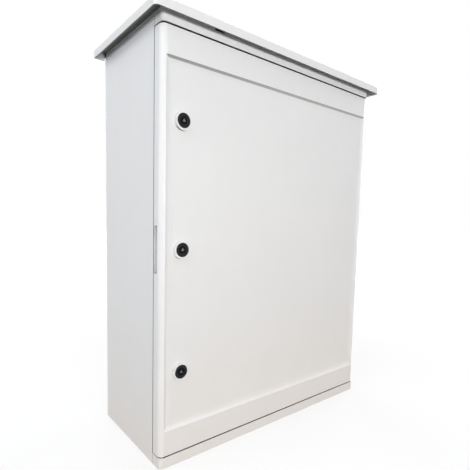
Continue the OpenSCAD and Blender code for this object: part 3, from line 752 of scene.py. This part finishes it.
def make_floor():
    """White studio floor that keeps the part's soft shadow."""
    mesh = bpy.data.meshes.new("floor")
    half = FLOOR_SIZE / 2
    corners = [(x * half, y * half, FLOOR_Z) for x, y in ((-1, -1), (1, -1), (1, 1), (-1, 1))]
    mesh.from_pydata(corners, [], [(0, 1, 2, 3)])
    floor = bpy.data.objects.new("floor", mesh)
    bpy.context.scene.collection.objects.link(floor)
    material = bpy.data.materials.new("floor_white")
    material.use_nodes = True
    tree = material.node_tree
    tree.nodes.remove(tree.nodes["Principled BSDF"])
    place = tree.nodes.new("ShaderNodeTexCoord")
    distance = tree.nodes.new("ShaderNodeVectorMath")
    distance.operation = "LENGTH"
    tree.links.new(place.outputs["Object"], distance.inputs[0])

    def spread(reach, ends):
        """A value that runs between two ends over a reach of distances from the part."""
        node = tree.nodes.new("ShaderNodeMapRange")
        for name, value in zip(("From Min", "From Max", "To Min", "To Max"), reach + ends):
            node.inputs[name].default_value = value
        tree.links.new(distance.outputs["Value"], node.inputs["Value"])
        return node.outputs["Result"]

    def matt(colour):
        node = tree.nodes.new("ShaderNodeBsdfDiffuse")
        node.inputs["Color"].default_value = (*colour, 1)
        return node.outputs[0]

    def mix(share, first, second):
        node = tree.nodes.new("ShaderNodeMixShader")
        for socket, value in zip(node.inputs, (share, first, second)):
            tree.links.new(value, socket)
        return node.outputs[0]

    seen = light_path(tree)
    strength = tree.nodes.new("ShaderNodeMath")
    strength.operation = "MULTIPLY"
    tree.links.new(seen, strength.inputs[0])
    tree.links.new(spread(GLOW_REACH, FLOOR_GLOW), strength.inputs[1])
    glow = tree.nodes.new("ShaderNodeEmission")
    tree.links.new(strength.outputs[0], glow.inputs["Strength"])
    thrown = mix(spread(COLOUR_REACH, (0.0, 1.0)), matt(FLOOR_NEAR), matt(FLOOR_FAR))
    both = tree.nodes.new("ShaderNodeAddShader")
    tree.links.new(mix(seen, thrown, matt(FLOOR_SEEN)), both.inputs[0])
    tree.links.new(glow.outputs[0], both.inputs[1])
    tree.links.new(both.outputs[0], tree.nodes["Material Output"].inputs["Surface"])
    mesh.materials.append(material)


# Light of the dome by the Z of its direction, from 0 at the horizon to 1 straight up
DOME = {
    0.0: (0.83, 0.85, 0.87),
    0.15: (0.10, 0.10, 0.10),
    0.35: (0.12, 0.12, 0.12),
    0.6: (0.25, 0.25, 0.26),
    1.0: (0.70, 0.70, 0.70),
}


def make_world():
    """White to look at; as light, a dome that is bright at the horizon and overhead."""
    world = bpy.data.worlds.new("studio")
    bpy.context.scene.world = world
    world.use_nodes = True
    tree = world.node_tree
    white = tree.nodes["Background"]
    white.inputs["Color"].default_value = (1, 1, 1, 1)
    dome = tree.nodes.new("ShaderNodeBackground")
    place = tree.nodes.new("ShaderNodeTexCoord")
    split = tree.nodes.new("ShaderNodeSeparateXYZ")
    tree.links.new(place.outputs["Generated"], split.inputs[0])
    share = tree.nodes.new("ShaderNodeMapRange")
    share.inputs["From Min"].default_value = -1
    tree.links.new(split.outputs["Z"], share.inputs["Value"])
    ramp = tree.nodes.new("ShaderNodeValToRGB")
    tree.links.new(share.outputs["Result"], ramp.inputs["Fac"])
    stops = ramp.color_ramp.elements
    while len(stops) > 1:
        stops.remove(stops[-1])
    for height, colour in DOME.items():
        stop = stops.new((height + 1) / 2)
        stop.color = (*colour, 1)
    stops.remove(stops[0])
    tree.links.new(ramp.outputs["Color"], dome.inputs["Color"])
    pick = tree.nodes.new("ShaderNodeMixShader")
    tree.links.new(light_path(tree), pick.inputs["Fac"])
    tree.links.new(dome.outputs[0], pick.inputs[1])
    tree.links.new(white.outputs[0], pick.inputs[2])
    tree.links.new(pick.outputs[0], tree.nodes["World Output"].inputs["Surface"])


# Each lamp: place, the point it faces, width and height, power in watts, colour
LAMPS = {
    "front_near": ((-0.9, -2.0, 0.85), (0.0, -0.16, 0.7), 1.2, 0.5, 13.2, (0.965, 0.985, 1.0)),
    "front_far": ((-0.9, -3.2, 0.8), (0.0, -0.16, 0.6), 2.2, 0.5, 35.0, (1.0, 0.985, 0.97)),
    "front_right": ((1.4, -3.0, 0.8), (0.0, -0.16, 0.6), 1.6, 0.5, 7.0, (1.0, 1.0, 1.0)),
    "side_rear": ((-2.8, 0.8, 1.0), (-0.375, 0.0, 0.6), 1.6, 0.6, 19.0, (0.87, 0.93, 1.0)),
    "high_side": ((-2.8, -0.8, 2.4), (-0.375, 0.0, 0.6), 2.0, 1.6, 33.0, (0.98, 0.99, 1.0)),
    "far_right": ((2.6, 0.2, 1.6), (0.375, 0.0, 0.6), 2.0, 1.2, 32.0, (0.97, 0.98, 1.0)),
    "far_back": ((0.6, 3.0, 1.6), (0.0, 0.16, 0.6), 2.2, 1.2, 44.0, (1.0, 0.98, 0.96)),
}


def make_lamps():
    for name, (place, target, width, height, power, colour) in LAMPS.items():
        lamp = bpy.data.lights.new(name, "AREA")
        lamp.shape = "RECTANGLE"
        lamp.size = width
        lamp.size_y = height
        lamp.energy = power
        lamp.color = colour
        thing = bpy.data.objects.new(name, lamp)
        thing.location = place
        aim = Vector(target) - Vector(place)
        thing.rotation_euler = aim.to_track_quat("-Z", "Y").to_euler()
        thing.visible_camera = False
        bpy.context.scene.collection.objects.link(thing)


CAMERA_PLACE = Vector((-0.7755, -0.8963, 0.5714))
CAMERA_YAW = math.radians(38.37)
CAMERA_PITCH = math.radians(-5.35)
CAMERA_ROLL = math.radians(1.28)
CAMERA_LENS_MM = 29.37
CAMERA_SENSOR_MM = 36
CAMERA_SHIFT = (0.0171, 0.0468)
CAMERA_CLIP_START = 0.01


def make_camera():
    """Camera at the photograph's viewing angle; the yaw turns from +Y towards +X."""
    ahead = Vector((math.sin(CAMERA_YAW) * math.cos(CAMERA_PITCH),
                    math.cos(CAMERA_YAW) * math.cos(CAMERA_PITCH), math.sin(CAMERA_PITCH)))
    level = Vector((math.cos(CAMERA_YAW), -math.sin(CAMERA_YAW), 0))
    above = level.cross(ahead)
    right = math.cos(CAMERA_ROLL) * level + math.sin(CAMERA_ROLL) * above
    up = math.cos(CAMERA_ROLL) * above - math.sin(CAMERA_ROLL) * level
    data = bpy.data.cameras.new("camera")
    data.sensor_width = CAMERA_SENSOR_MM
    data.lens = CAMERA_LENS_MM
    data.shift_x, data.shift_y = CAMERA_SHIFT
    data.clip_start = CAMERA_CLIP_START
    camera = bpy.data.objects.new("camera", data)
    turn = Matrix((right, up, -ahead)).transposed()
    camera.matrix_world = Matrix.Translation(CAMERA_PLACE) @ turn.to_4x4()
    bpy.context.scene.collection.objects.link(camera)
    bpy.context.scene.camera = camera


make_floor()
make_world()
make_lamps()
make_camera()
bpy.context.scene.view_settings.view_transform = "Standard"
